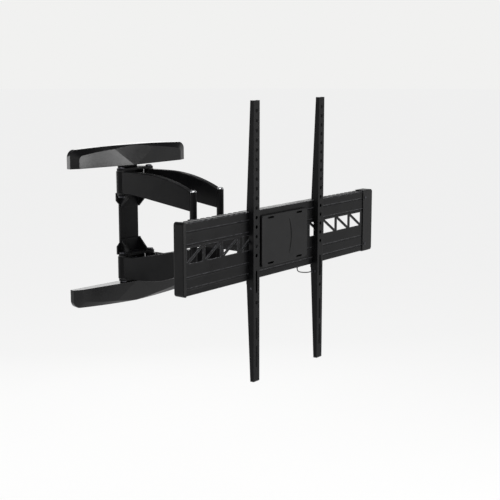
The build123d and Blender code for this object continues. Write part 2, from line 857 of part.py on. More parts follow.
for x, z in cap_screw_places:
    panel -= rod_y(cap_screw_radius, rail_front - 1, sheet_back + 1, x, z)

# Latch slots in the lower lip, one behind each bracket.
latch_y = rail_front - latch_pin_ahead
latch_z = -rail_half_height - latch_pin_drop
tip_front = sheet_back + latch_slot_margin
tip_back = tip_front + latch_thickness
lip_bottom = -rail_half_height - 1
lip_top = -rail_half_height + rail_sheet + 1
for side in (-1, 1):
    middle = side * bracket_spacing / 2 - bracket_shift
    panel -= block(
        middle - latch_half_width - latch_slot_margin,
        middle + latch_half_width + latch_slot_margin,
        sheet_back,
        tip_back + latch_slot_reach,
        lip_bottom,
        lip_top,
    )
tether_y = rail_front + tether_behind
panel -= rod_z(tether_radius, lip_bottom, lip_top, tether_start, tether_y)
save(at_rail * panel, "rail_panel")

# Spine: hat section that ties the panel's middle to the level bolt.
spine_half = spine_width / 2
spine = block(
    -spine_half, spine_half, spine_front, rail_back, -spine_half_height, spine_half_height
)
for side in (-1, 1):
    spine += block(
        -spine_half,
        spine_half,
        sheet_back,
        rail_back,
        side * (spine_half_height - spine_sheet),
        side * spine_half_height,
    )
spine -= rod_y(level_bolt_radius + running_gap, spine_front - 1, rail_back + 1)
save(at_rail * spine, "rail_spine")

# End caps: plastic sleeves over both rail ends. The left one has a narrow lip, the right one a wide
# lip with two screws and a narrow one behind.
sleeve = face_gap + end_cap_wall


def end_cap(lip):
    """Cap for the right end of the rail, its open side inward, with a lip of some length round the rail."""
    cap = block(
        rail_length / 2 - lip,
        rail_length / 2,
        rail_front - sleeve,
        rail_back + sleeve,
        -rail_half_height - sleeve,
        rail_half_height + sleeve,
    )
    end_face = cap.faces().sort_by(Axis.X)[-1]
    cap = fillet(end_face.edges().filter_by(Axis.Y), end_cap_corner)
    end_face = cap.faces().sort_by(Axis.X)[-1]
    cap = fillet(end_face.edges().filter_by(Axis.Z), end_cap_radius)
    cap -= block(
        rail_length / 2 - lip - 1,
        panel_half + face_gap,
        rail_front - face_gap,
        rail_back + face_gap,
        -rail_half_height - face_gap,
        rail_half_height + face_gap,
    )
    return cap


right_cap = end_cap(right_cap_lip)
right_cap -= block(
    rail_length / 2 - right_cap_lip - 1,
    rail_length / 2 - cap_back_lip,
    rail_back,
    rail_back + sleeve + 1,
    -rail_half_height - sleeve - 1,
    rail_half_height + sleeve + 1,
)
for x, z in cap_screw_places:
    right_cap -= rod_y(cap_screw_radius, rail_front - sleeve - 1, rail_front, x, z)
save(at_rail * right_cap, "right_end_cap")
save(at_rail * other_side(end_cap(left_cap_lip)), "left_end_cap")
cap_screws = []
for x, z in cap_screw_places:
    screw = rod_y(cap_screw_radius, rail_front - sleeve, rail_front + cap_screw_length, x, z)
    screw += rod_y(cap_screw_head, rail_front - sleeve - cap_screw_radius, rail_front - sleeve, x, z)
    cap_screws.append(screw)
save(at_rail * group(cap_screws), "end_cap_screws")

# Centre cover: thin tray on the front of the rail with corner slots and a curved crease.
centre_half = centre_width / 2
centre_front = rail_front - centre_depth
centre_cover = block(-centre_half, centre_half, centre_front, rail_front, centre_low, centre_high)
centre_cover = fillet(centre_cover.edges().filter_by(Axis.Y), centre_radius)
centre_cover = fillet(centre_cover.faces().sort_by(Axis.Y)[0].edges(), centre_wall)
tray = block(
    -centre_half + centre_wall,
    centre_half - centre_wall,
    centre_front + centre_wall,
    rail_front + 1,
    centre_low + centre_wall,
    centre_high - centre_wall,
)
tray = fillet(tray.edges().filter_by(Axis.Y), centre_radius - centre_wall)
centre_cover -= tray
for x in (-centre_half + centre_slot_inset, centre_half - centre_slot_inset):
    for z in (centre_low + centre_slot_drop, centre_high - centre_slot_drop):
        centre_cover -= slot_y(
            centre_slot_length, centre_slot_width / 2, centre_front - 1, rail_front, x, z
        )
crease_top = crease_level + crease_height / 2
crease_bottom = crease_level - crease_height / 2
crease_line = ThreePointArc(
    (crease_place, crease_top), (crease_place + crease_bulge, crease_level), (crease_place, crease_bottom)
)
crease_back = ThreePointArc(
    (crease_place, crease_bottom),
    (crease_place + crease_bulge - crease_width, crease_level),
    (crease_place, crease_top),
)
crease = extrude(make_face(crease_line + crease_back), crease_depth)
centre_cover -= Pos(0, centre_front + crease_depth, 0) * Rot(90, 0, 0) * crease
save(at_rail * Pos(-centre_shift, 0, 0) * centre_cover, "centre_cover")

# Screen brackets: tall channels hung on the rail, deepest where they hook over it.
flange_front = rail_front - flange_ahead
flange_half = flange_width / 2
seat = rail_half_height + slip_gap
channel_outline = (
    (flange_front, channel_bottom),
    (flange_front, channel_top),
    (flange_front + channel_end_depth, channel_top),
    (flange_front + channel_hook_depth, seat + hook_height),
    (flange_front + channel_hook_depth, seat),
    (rail_front, seat),
    (rail_front, -seat),
    (flange_front + channel_hook_depth, -seat),
    (flange_front + channel_hook_depth, -seat - hook_height),
    (flange_front + channel_end_depth, channel_bottom),
)
channel = prism_x(channel_outline, -flange_half, flange_half)
channel -= block(
    -flange_half + channel_sheet,
    flange_half - channel_sheet,
    flange_front + channel_sheet,
    0,
    channel_bottom - 1,
    channel_top + 1,
)
hole_steps = int(round((hole_top - hole_bottom) / hole_pitch)) + 1
hole_levels = [hole_top - step * hole_pitch for step in range(hole_steps)]
hole_levels.append(-screen_hole_spacing / 2)
for level in hole_levels:
    channel -= rod_y(screen_hole_radius, flange_front - 1, flange_front + channel_sheet + 1, 0, level)
for level in long_slot_levels:
    channel -= slot_y(
        long_slot_length,
        long_slot_radius,
        flange_front - 1,
        flange_front + channel_sheet + 1,
        0,
        level,
        upright=True,
    )
channel -= rod_x(latch_pin_radius, -flange_half - 1, flange_half + 1, latch_y, latch_z)
foot_inner = flange_half - channel_sheet - face_gap
foot_plug = block(
    -foot_inner,
    foot_inner,
    flange_front + channel_sheet + face_gap,
    flange_front + channel_end_depth - face_gap,
    channel_bottom,
    channel_bottom + foot_plug_height,
)
foot_plug += block(
    -flange_half,
    flange_half,
    flange_front,
    flange_front + channel_end_depth,
    channel_bottom - foot_lip,
    channel_bottom,
)
latch_pin = rod_x(latch_pin_radius, -flange_half, flange_half, latch_y, latch_z)

# Latches: a slide on a pin in each channel, its tip up through the slot in the rail's lower lip.
# The pin sits at the foot of an upright slot, so that the latch can be pulled down off the rail.
latch_front = latch_y - latch_thickness / 2
latch_back = latch_y + latch_thickness / 2
arm_top = -rail_half_height - latch_arm_drop
catch_top = -rail_half_height + latch_catch
latch_outline = (
    (tip_front, catch_top),
    (tip_back, catch_top - latch_lead_in),
    (tip_back, arm_top - latch_thickness),
    (latch_back, arm_top - latch_thickness),
    (latch_back, latch_z - latch_tail),
    (latch_front, latch_z - latch_tail),
    (latch_front, arm_top),
    (tip_front, arm_top),
)
latch = prism_x(latch_outline, -latch_half_width, latch_half_width)
latch_bore = latch_pin_radius + running_gap
latch -= rod_x(latch_bore, -flange_half, flange_half, latch_y, latch_z)
latch -= rod_x(latch_bore, -flange_half, flange_half, latch_y, latch_z + latch_travel)
latch -= block(
    -flange_half, flange_half, latch_y - latch_bore, latch_y + latch_bore, latch_z, latch_z + latch_travel
)
for side, name in ((-1, "left"), (1, "right")):
    hang = at_rail * Pos(side * bracket_spacing / 2 - bracket_shift, 0, 0)
    save(hang * channel, name + "_bracket")
    save(hang * foot_plug, name + "_bracket_foot")
    save(hang * latch_pin, name + "_latch_pin")
    save(hang * latch, name + "_latch")

# Tether: thin cord from an eyelet under the rail to a clip on the right bracket.
eyelet_base = -rail_half_height - eyelet_height
eyelet = rod_z(eyelet_radius, eyelet_base, -rail_half_height, tether_start, tether_y)
eyelet += rod_z(tether_radius, -rail_half_height, -rail_half_height + rail_sheet, tether_start, tether_y)
clip_side = bracket_spacing / 2 - bracket_shift - flange_half
clip_y = tether_y - tether_ahead
clip_level = eyelet_base - tether_drop
tether_clip = rod_x(eyelet_radius, clip_side - eyelet_height, clip_side, clip_y, clip_level)
tether_end = clip_side - eyelet_height
tether_points = [(tether_start, tether_y, eyelet_base)]
for x, y, z in tether_route:
    tether_points.append((tether_start + x, tether_y + y, eyelet_base + z))
tether_points.append((tether_end - tether_straight, clip_y, clip_level))
tether_points.append((tether_end, clip_y, clip_level))
tether_radii = []
for before, here, after in zip(tether_points, tether_points[1:], tether_points[2:]):
    run_in = Vector(*here) - Vector(*before)
    run_out = Vector(*after) - Vector(*here)
    turn = math.radians(run_in.get_angle(run_out))
    shorter = min(run_in.length, run_out.length)
    tether_radii.append(bend_share * shorter / math.tan(turn / 2))
print("tether radii", [round(r, 1) for r in tether_radii])
tether_path = FilletPolyline(*tether_points, radius=tether_radii)
tether_start_plane = Plane(tether_path @ 0, z_dir=tether_path % 0)
tether = sweep(tether_start_plane * Circle(tether_radius), path=tether_path)
tether_expected = tether_path.length * math.pi * tether_radius**2
print("tether volume", round(tether.volume, 1), "of", round(tether_expected, 1))
print("tether length", round(tether_path.length, 1))
save(at_rail * eyelet, "tether_eyelet")
save(at_rail * tether_clip, "tether_clip")
save(at_rail * tether, "tether_cord")
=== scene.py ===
import bpy
import json
import math
import numpy as np
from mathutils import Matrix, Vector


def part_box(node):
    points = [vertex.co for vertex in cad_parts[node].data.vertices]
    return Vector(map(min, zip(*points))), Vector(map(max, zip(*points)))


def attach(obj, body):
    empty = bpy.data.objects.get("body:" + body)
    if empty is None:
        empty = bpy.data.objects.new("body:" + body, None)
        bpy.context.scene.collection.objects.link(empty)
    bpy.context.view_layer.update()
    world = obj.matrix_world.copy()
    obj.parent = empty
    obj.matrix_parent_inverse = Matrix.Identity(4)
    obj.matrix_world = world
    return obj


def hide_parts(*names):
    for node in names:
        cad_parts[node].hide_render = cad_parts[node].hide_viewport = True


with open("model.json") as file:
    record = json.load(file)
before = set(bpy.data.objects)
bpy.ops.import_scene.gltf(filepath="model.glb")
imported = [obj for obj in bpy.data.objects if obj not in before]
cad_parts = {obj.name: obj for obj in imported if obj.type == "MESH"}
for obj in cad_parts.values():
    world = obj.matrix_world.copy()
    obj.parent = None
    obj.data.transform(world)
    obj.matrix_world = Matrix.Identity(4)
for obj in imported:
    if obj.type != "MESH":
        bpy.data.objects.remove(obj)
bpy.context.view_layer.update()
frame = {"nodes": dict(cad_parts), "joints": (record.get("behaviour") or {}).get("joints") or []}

# Wall rails: two pressed steel channels with slots for long screws, which carry everything else. They are
# folded from 3 mm sheet and powder coated black, and only their flanges show round the covers.


def paint(code):
    """Turns an sRGB hex value to linear red, green, blue and alpha. The curve is a power above the toe,
    and a straight line below it."""
    value = np.array([int(code[i : i + 2], 16) for i in (1, 3, 5)]) / 255
    linear = np.where(value > 0.04045, ((value + 0.055) / 1.055) ** 2.4, value / 12.92)
    return (*linear.tolist(), 1.0)


def add(tree, kind, sockets=None, **settings):
    """Adds one shader node. Settings go on the node, and each socket, by name or number, gets a value or
    a link. A colour Mix node has its factor in socket 0, its two colours in 6 and 7, and its result in
    output 2."""
    node = tree.nodes.new("ShaderNode" + kind)
    for key, value in settings.items():
        setattr(node, key, value)
    for key, value in (sockets or {}).items():
        if isinstance(value, bpy.types.NodeSocket):
            tree.links.new(value, node.inputs[key])
        else:
            node.inputs[key].default_value = value
    return node


def new_finish(name, lay="Object"):
    """Empty material, with its node tree and the coordinates that its patterns are laid out on."""
    finish = bpy.data.materials.new(name)
    finish.use_nodes = True
    tree = finish.node_tree
    tree.nodes.clear()
    return finish, tree, add(tree, "TexCoord").outputs[lay]


def rounded_edges(tree, edge_mm):
    """Normal that is rounded over at every edge, and its dot product with the flat one, which is 1 on a
    face and falls towards the edge."""
    soft = add(tree, "Bevel", {"Radius": edge_mm / 1000}, samples=6).outputs[0]
    flat = add(tree, "NewGeometry").outputs["Normal"]
    facing = add(tree, "VectorMath", {0: soft, 1: flat}, operation="DOT_PRODUCT").outputs["Value"]
    return soft, facing


def powder_coat(name, deep, thin, rough, peel_mm, edge_mm=1.4, wear_and_highlight_tone="#333335"):
    """Polyester powder baked on steel. It gives a soft satin black with a fine orange peel, slightly cloudy
    where the film is thicker, and a paler, broken line where it draws back from every folded or sheared edge.
    On the rail that line is wide and light, and there it is a painted highlight along the ledges and edges."""
    finish, tree, place = new_finish(name)
    cloud_mm = 55.0
    cloud = add(
        tree, "TexNoise", {"Vector": place, "Scale": 1000 / cloud_mm, "Detail": 4.0, "Roughness": 0.6}
    ).outputs[0]
    cloudy = add(
        tree, "MapRange", {"Value": cloud, "From Min": 0.35, "From Max": 0.68, "To Min": 0.0, "To Max": 0.55}
    ).outputs[0]
    soft, facing = rounded_edges(tree, edge_mm)
    edge = add(
        tree, "MapRange", {"Value": facing, "From Min": 0.985, "From Max": 0.82, "To Min": 0.0, "To Max": 1.0}
    ).outputs[0]
    rub_mm = 9.0
    rub = add(tree, "TexNoise", {"Vector": place, "Scale": 1000 / rub_mm, "Detail": 3.0}).outputs[0]
    rubbed = add(
        tree, "MapRange", {"Value": rub, "From Min": 0.38, "From Max": 0.66, "To Min": 0.25, "To Max": 1.0}
    ).outputs[0]
    # Paler line at every edge: the coat thinning, and, where the tone is light and the edge wide, a painted
    # highlight.
    edge_wear_and_highlight = add(tree, "Math", {0: edge, 1: rubbed}, operation="MULTIPLY").outputs[0]
    film = add(tree, "Mix", {0: cloudy, 6: paint(deep), 7: paint(thin)}, data_type="RGBA").outputs[2]
    colour = add(tree, "Mix", {0: edge_wear_and_highlight, 6: film, 7: paint(wear_and_highlight_tone)}, data_type="RGBA").outputs[2]
    gloss = add(
        tree,
        "MapRange",
        {"Value": cloud, "From Min": 0.3, "From Max": 0.7, "To Min": rough - 0.05, "To Max": rough + 0.07},
    ).outputs[0]
    # Real peel is about 1 mm from crest to crest. It is drawn a few times coarser so that it shows.
    peel = add(
        tree, "TexNoise", {"Vector": place, "Scale": 1000 / peel_mm, "Detail": 2.0, "Roughness": 0.45}
    ).outputs[0]
    skin = add(
        tree, "Bump", {"Height": peel, "Strength": 0.35, "Distance": 0.00035, "Normal": soft}
    ).outputs[0]
    coat = add(
        tree,
        "BsdfPrincipled",
        {"Base Color": colour, "Roughness": gloss, "Normal": skin, "IOR": 1.5, "Specular IOR Level": 0.09},
    )
    add(tree, "OutputMaterial", {"Surface": coat.outputs[0]})
    return finish


def dress(finish, *nodes):
    """Gives CAD nodes their finish in place of the plain one."""
    for node in nodes:
        mesh = frame["nodes"][node].data
        mesh.materials.clear()
        mesh.materials.append(finish)


black_coat = powder_coat("black_powder_coat", "#0c0c0d", "#161617", rough=0.44, peel_mm=3.5)
dress(black_coat, "wall_rail_upper", "wall_rail_lower")

# Wall column: a shallow channel over both rails, folded from 4 mm sheet and coated like them. Eight button
# head bolts in black zinc clamp it to the rails. Each is cold headed, with a hexagon socket.
mm = 0.001
dress(black_coat, "wall_column")


def turned(rings, feet, axes, sides=40, outline=None):
    """Turned pieces, one for each foot and axis. A ring is (radius, height, share) in mm. Its point at a
    turn is foot + height * axis + radius * (1 + share * (outline(turn) - 1)) * (cos turn * across + sin
    turn * beside), so that share 0 is a circle and share 1 the outline. Quads join the rings, and a fan
    closes each end."""
    rings = np.asarray(rings, float)
    feet = np.atleast_2d(np.asarray(feet, float))
    axes = np.broadcast_to(np.asarray(axes, float), feet.shape)
    axes = axes / np.linalg.norm(axes, axis=1, keepdims=True)
    upright = np.abs(axes[:, 2:]) > 0.9
    across = np.cross(np.where(upright, (1.0, 0.0, 0.0), (0.0, 0.0, 1.0)), axes)
    across = across / np.linalg.norm(across, axis=1, keepdims=True)
    beside = np.cross(axes, across)
    turn = np.linspace(0, 2 * np.pi, sides, endpoint=False)
    shape = np.ones(sides) if outline is None else outline(turn)
    radius = rings[:, :1] * (1 + rings[:, 2:] * (shape - 1)) * mm
    level = rings[:, 1] * mm
    spread = np.cos(turn)[:, None] * across[:, None, :] + np.sin(turn)[:, None] * beside[:, None, :]
    skin = radius[None, :, :, None] * spread[:, None] + level[None, :, None, None] * axes[:, None, None]
    skin = (skin + feet[:, None, None]).reshape(len(feet), -1, 3)
    poles = feet[:, None] + level[[0, -1]][None, :, None] * axes[:, None]
    points = np.concatenate([skin, poles], axis=1)
    ring = np.arange(len(rings) - 1)[:, None] * sides
    step = np.arange(sides)
    after = (step + 1) % sides
    quads = np.stack([ring + step, ring + after, ring + sides + after, ring + sides + step], -1)
    quads = quads.reshape(-1, 4)
    foot_pole = np.full(sides, len(rings) * sides)
    last = (len(rings) - 1) * sides
    fans = np.stack([foot_pole, after, step], -1)
    crown = np.stack([foot_pole + 1, last + step, last + after], -1)
    shift = np.arange(len(feet))[:, None, None] * points.shape[1]
    faces = [(kind + shift).reshape(-1, kind.shape[1]) for kind in (quads, fans, crown)]
    return points.reshape(-1, 3), faces


def seat_piece(name, shape, body, slot, finish, *replaced, crease=32):
    """Puts a shape into a mesh that rides on a body, smooth but for corners past the crease in degrees. A
    shape is its points and its faces, which are arrays of corners, one for each kind of face."""
    points, faces = shape
    mesh = bpy.data.meshes.new(name)
    mesh.from_pydata(points.tolist(), [], [face for kind in faces for face in kind.tolist()])
    mesh.polygons.foreach_set("use_smooth", np.ones(len(mesh.polygons), bool))
    mesh.set_sharp_from_angle(angle=math.radians(crease))
    mesh.materials.append(finish)
    mesh.update()
    piece = bpy.data.objects.new(name, mesh)
    bpy.context.scene.collection.objects.link(piece)
    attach(piece, body)
    if replaced:
        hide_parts(*replaced)
    return piece


def hexagon(turn):
    """Outline of a hexagon whose corners lie at radius 1: the cosine of 30 degrees over the cosine of the
    turn from a flat's middle."""
    return math.cos(math.pi / 6) / np.cos(np.mod(turn, math.pi / 3) - math.pi / 6)


def button_rings(shank_radius, shank_length, head_radius, head_height, socket_radius):
    """Rings of a button head bolt from the end of its shank up: a chamfered shank, a flat seat, a head
    that rounds over on a quarter ellipse, and a hexagon socket sunk to half the head's height."""
    chamfer = 0.2 * shank_radius
    rim_share = 0.22
    mouth_radius = 1.35 * socket_radius
    top = shank_length + head_height
    swell = np.linspace(0, np.pi / 2, 7)
    dome = head_radius - (head_radius - mouth_radius) * (1 - np.cos(swell))
    rise = shank_length + head_height * (rim_share + (1 - rim_share) * np.sin(swell))
    head = np.stack([dome, rise, np.zeros_like(swell)], 1)
    shank = [(shank_radius - chamfer, 0, 0), (shank_radius, chamfer, 0), (shank_radius, shank_length, 0)]
    seat = [(head_radius, shank_length, 0)]
    mouth = [(1.2 * socket_radius, top, 0.3), (socket_radius, top - 0.1 * head_height, 1)]
    floor = [(socket_radius, top - 0.5 * head_height, 1), (0.3 * socket_radius, top - 0.56 * head_height, 0)]
    return np.concatenate([shank, seat, head, mouth, floor])


def bolt_grid(side, levels, depth):
    """Feet of bolts in two columns, a side to the left and right of the middle, at each level above and
    below it."""
    x, z = np.meshgrid((-side, side), np.concatenate([levels, np.negative(levels)]))
    return np.stack([x.ravel(), np.full(x.size, depth), z.ravel()], 1) * mm


def black_zinc(name, deep, pale, rough):
    """Zinc plate passivated black on steel. It keeps a metal's tinted gleam under a dark film, uneven in
    broad stains, with fine rub marks all over and softly rounded edges."""
    finish, tree, place = new_finish(name)
    stain_mm = 6.0
    stain = add(
        tree, "TexNoise", {"Vector": place, "Scale": 1000 / stain_mm, "Detail": 4.0, "Distortion": 0.4}
    ).outputs[0]
    stained = add(
        tree, "MapRange", {"Value": stain, "From Min": 0.35, "From Max": 0.7, "To Min": 0.0, "To Max": 1.0}
    ).outputs[0]
    rub_mm = 1.2
    rub = add(tree, "TexNoise", {"Vector": place, "Scale": 1000 / rub_mm, "Detail": 2.0}).outputs[0]
    film = add(tree, "Mix", {0: stained, 6: paint(deep), 7: paint(pale)}, data_type="RGBA").outputs[2]
    gloss = add(
        tree,
        "MapRange",
        {"Value": stain, "From Min": 0.3, "From Max": 0.7, "To Min": rough - 0.06, "To Max": rough + 0.1},
    ).outputs[0]
    edge_mm = 0.5
    soft = add(tree, "Bevel", {"Radius": edge_mm / 1000}, samples=4).outputs[0]
    skin = add(
        tree, "Bump", {"Height": rub, "Strength": 0.25, "Distance": 0.00012, "Normal": soft}
    ).outputs[0]
    plate = add(
        tree, "BsdfPrincipled", {"Base Color": film, "Metallic": 1.0, "Roughness": gloss, "Normal": skin}
    )
    add(tree, "OutputMaterial", {"Surface": plate.outputs[0]})
    return finish


zinc = black_zinc("black_zinc_plate", "#2e2e31", "#505055", rough=0.36)
column_rings = button_rings(
    shank_radius=3.0, shank_length=7.0, head_radius=6.0, head_height=4.0, socket_radius=2.3
)
column_feet = bolt_grid(side=22.0, levels=(196.0, 218.0), depth=0.0)
column_bolts = turned(column_rings, column_feet, (0, -1, 0), outline=hexagon)
seat_piece("column_button_bolts", column_bolts, "wall", "dark_fastener", zinc, "column_bolts")

# Pivot brackets: two ears on a back plate, cut from 6 and 5 mm plate and welded, then coated black. Fillet
# welds run along the ears where they meet the plate, and four bolts hold each bracket to the column.
dress(black_coat, "upper_pivot_bracket", "lower_pivot_bracket")


def bead_rings(length, radius, ripple):
    """Rings of a weld bead: its radius swells and dips once for each ripple along it, by the size of an
    absolute sine, and rounds off on a circle at both ends."""
    ripple_steps = 6
    ripple_share = 0.18
    blunt_end = 0.02
    along = np.linspace(0, length, int(length / ripple) * ripple_steps)
    wave = radius * (1 - ripple_share + ripple_share * np.abs(np.sin(np.pi * along / ripple)))
    reach = np.minimum(along, length - along) / radius
    taper = np.sqrt(np.clip(reach * (2 - np.minimum(reach, 1)), blunt_end, 1))
    return np.stack([wave * taper, along, np.zeros_like(along)], 1)


ear_weld_length = 70.0
ear_weld_depth = -12.2
ear_weld_levels = (94.3, 163.7, -94.3, -163.7)
ear_feet = np.array([(-ear_weld_length / 2, ear_weld_depth, level) for level in ear_weld_levels]) * mm
ear_beads = turned(bead_rings(ear_weld_length, radius=2.4, ripple=3.2), ear_feet, (1, 0, 0), sides=14)
seat_piece("ear_weld_beads", ear_beads, "wall", "black_steel", black_coat, crease=60)
plate_rings = button_rings(
    shank_radius=3.0, shank_length=9.0, head_radius=6.0, head_height=4.0, socket_radius=2.3
)
plate_feet = bolt_grid(side=18.0, levels=(112.0, 146.0), depth=-3.0)
plate_bolts = turned(plate_rings, plate_feet, (0, -1, 0), outline=hexagon)
seat_piece("bracket_button_bolts", plate_bolts, "wall", "dark_fastener", zinc, "bracket_bolts")

# Arm pins: 12 mm turned steel pins that the arms swing on, plated black, with a domed head at the outer end
# and a snap ring at the inner one. Nylon washers sit between ears and hubs.


def headed_pin(node, shank_radius, head_radius, head_height, socket_radius, upward=1.0):
    """Turned pin in the place of an upright node, as long as the node is. Its button head is at the upper
    end, or at the lower end where upward is minus 1."""
    low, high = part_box(node)
    foot = ((low.x + high.x) / 2, (low.y + high.y) / 2, low.z if upward > 0 else high.z)
    shank_length = (high.z - low.z) / mm - head_height
    rings = button_rings(shank_radius, shank_length, head_radius, head_height, socket_radius)
    return turned(rings, foot, (0, 0, upward), outline=hexagon)


arm_pin_radius = 6.0
for side in ("left", "right"):
    for level, upward in (("upper", 1.0), ("lower", -1.0)):
        node = side + "_" + level + "_pin"
        pin = headed_pin(
            node, arm_pin_radius, head_radius=10.0, head_height=5.0, socket_radius=3.6, upward=upward
        )
        seat_piece(side + "_" + level + "_arm_pin", pin, "wall", "dark_fastener", zinc, node)


def carried(profile, centres, across, up, closed):
    """Profile carried along a path. Its point (x, y) at a step lies at centre + x * across + y * up.
    Quads join the steps, round the path too if it is closed, and otherwise a flat face closes each end.
    Faces are turned outwards by the sign of the volume that they enclose."""
    profile = np.asarray(profile, float)
    count = len(profile)
    steps = len(centres)
    points = centres[:, None] + profile[None, :, :1] * across[:, None] + profile[None, :, 1:] * up[:, None]
    points = points.reshape(-1, 3)
    row = np.arange(steps if closed else steps - 1)[:, None] * count
    follow = (row + count) % (steps * count)
    spot = np.arange(count)
    beyond = (spot + 1) % count
    quads = np.stack([row + spot, row + beyond, follow + beyond, follow + spot], -1).reshape(-1, 4)
    corner = points[quads]
    normal = np.cross(corner[:, 2] - corner[:, 0], corner[:, 3] - corner[:, 1])
    inward = ((corner.mean(1) - points.mean(0)) * normal).sum() < 0
    faces = [quads] if closed else [quads, spot[None, ::-1], (steps - 1) * count + spot[None]]
    return points, [kind[:, ::-1] for kind in faces] if inward else faces


def rounded_band(inner, outer, height, rounding):
    """Section of a flat ring, as a loop of (radius, height) points: a box with each corner on a quarter
    circle."""
    turn = np.linspace(0, np.pi / 2, 4) + np.arange(4)[:, None] * np.pi / 2
    middle_radius = np.array([outer - rounding, inner + rounding, inner + rounding, outer - rounding])
    middle_height = np.array([height - rounding, height - rounding, rounding, rounding])
    radius = middle_radius[:, None] + rounding * np.cos(turn)
    level = middle_height[:, None] + rounding * np.sin(turn)
    return np.stack([radius.ravel(), level.ravel()], 1) * mm


def joined(shapes):
    """Several shapes as one: their points in a row, with each shape's faces counted on from its first
    point."""
    sizes = [len(points) for points, faces in shapes]
    starts = np.cumsum(sizes) - sizes
    faces = [kind + start for start, (points, kinds) in zip(starts, shapes) for kind in kinds]
    return np.concatenate([points for points, kinds in shapes]), faces


def hoops(section, hubs, gap=0.0, steps=48):
    """Upright rings round several hubs: the section carried round a circle, or round an arc that leaves a
    gap, which is an angle in radians."""
    closed = gap == 0.0
    turn = np.linspace(gap / 2, 2 * np.pi - gap / 2, steps, endpoint=not closed)
    out = np.stack([np.cos(turn), np.sin(turn), np.zeros(steps)], 1)
    up = np.broadcast_to((0.0, 0.0, 1.0), out.shape)
    ring, faces = carried(section, np.zeros((steps, 3)), out, up, closed)
    return joined([(ring + hub, faces) for hub in hubs])


def raised(hubs, levels):
    """Every hub moved up by every level, in metres, one hub after the other."""
    rise = np.multiply.outer(np.asarray(levels, float), (0.0, 0.0, 1.0))
    return (np.atleast_2d(hubs)[:, None] + rise).reshape(-1, 3)


def nylon(name, deep, pale):
    """Moulded nylon, dyed dark. It is a dull waxy plastic with flow clouds and a slightly rough skin."""
    finish, tree, place = new_finish(name)
    flow_mm = 5.0
    flow = add(
        tree, "TexNoise", {"Vector": place, "Scale": 1000 / flow_mm, "Detail": 3.0, "Distortion": 0.6}
    ).outputs[0]
    grit_mm = 0.8
    grit = add(tree, "TexNoise", {"Vector": place, "Scale": 1000 / grit_mm, "Detail": 2.0}).outputs[0]
    colour = add(tree, "Mix", {0: flow, 6: paint(deep), 7: paint(pale)}, data_type="RGBA").outputs[2]
    gloss = add(
        tree, "MapRange", {"Value": flow, "From Min": 0.3, "From Max": 0.7, "To Min": 0.42, "To Max": 0.58}
    ).outputs[0]
    skin = add(tree, "Bump", {"Height": grit, "Strength": 0.3, "Distance": 0.0001}).outputs[0]
    body = add(
        tree, "BsdfPrincipled", {"Base Color": colour, "Roughness": gloss, "Normal": skin, "IOR": 1.53}
    )
    add(tree, "OutputMaterial", {"Surface": body.outputs[0]})
    return finish


joints = {joint["name"]: joint for joint in frame["joints"]}
shoulders = np.array([joints["left_swing"]["pos_m"], joints["right_swing"]["pos_m"]])
snap_section = rounded_band(inner=arm_pin_radius, outer=10.0, height=5.0, rounding=0.9)
snap_levels = np.array([83.0, -88.0]) * mm
snap_rings = hoops(snap_section, raised(shoulders, snap_levels), gap=0.45)
seat_piece("arm_snap_rings", snap_rings, "wall", "dark_fastener", zinc, "shoulder_clips")
washer_nylon = nylon("dark_nylon", "#232324", "#363637")
washer_radius = 13.0
washer_height = 2.0
washer_section = rounded_band(inner=6.05, outer=washer_radius, height=washer_height, rounding=0.5)
washer_levels = np.array([94.0, 162.0, -96.0, -164.0]) * mm
washers = hoops(washer_section, raised(shoulders, washer_levels))
seat_piece("arm_washers", washers, "wall", "washer_plastic", washer_nylon, "shoulder_washers")

# Covers: two injection moulded ABS shells that clip over the wall rails. Each has two flat wings that slope
# back to its ends, bevelled edges and a brow in the middle, with a fine satin grain from the mould.


def moulded_abs(name, deep, pale, rough, grain_mm, gleam):
    """ABS, or nylon like it, from a spark eroded mould. The grain breaks the gloss into a soft satin, the
    colour clouds a little with the flow, and the corners are rounded and slightly shinier."""
    finish, tree, place = new_finish(name)
    flow_mm = 70.0
    flow = add(
        tree, "TexNoise", {"Vector": place, "Scale": 1000 / flow_mm, "Detail": 3.0, "Distortion": 0.3}
    ).outputs[0]
    cloudy = add(
        tree, "MapRange", {"Value": flow, "From Min": 0.35, "From Max": 0.68, "To Min": 0.0, "To Max": 0.7}
    ).outputs[0]
    colour = add(tree, "Mix", {0: cloudy, 6: paint(deep), 7: paint(pale)}, data_type="RGBA").outputs[2]
    # The mould's grain is about 0.3 mm. It is drawn coarser so that it shows.
    grain = add(tree, "TexVoronoi", {"Vector": place, "Scale": 1000 / grain_mm, "Randomness": 1.0})
    pit_mm = grain_mm / 2
    pits = add(tree, "TexNoise", {"Vector": place, "Scale": 1000 / pit_mm, "Detail": 2.0}).outputs[0]
    relief = add(tree, "Math", {0: grain.outputs["Distance"], 1: pits}, operation="ADD").outputs[0]
    soft, facing = rounded_edges(tree, edge_mm=1.6)
    edge = add(
        tree, "MapRange", {"Value": facing, "From Min": 0.99, "From Max": 0.85, "To Min": 0.0, "To Max": 0.09}
    ).outputs[0]
    level = add(
        tree,
        "MapRange",
        {"Value": flow, "From Min": 0.3, "From Max": 0.7, "To Min": rough - 0.03, "To Max": rough + 0.05},
    ).outputs[0]
    gloss = add(tree, "Math", {0: level, 1: edge}, operation="SUBTRACT").outputs[0]
    skin = add(
        tree, "Bump", {"Height": relief, "Strength": 0.16, "Distance": 0.00022, "Normal": soft}
    ).outputs[0]
    body = add(
        tree,
        "BsdfPrincipled",
        {"Base Color": colour, "Roughness": gloss, "Normal": skin, "IOR": 1.54, "Specular IOR Level": gleam},
    )
    add(tree, "OutputMaterial", {"Surface": body.outputs[0]})
    return finish


cover_abs = moulded_abs("satin_black_abs", "#0b0b0c", "#121213", rough=0.15, grain_mm=1.8, gleam=0.22)
dress(cover_abs, "upper_cover", "lower_cover")

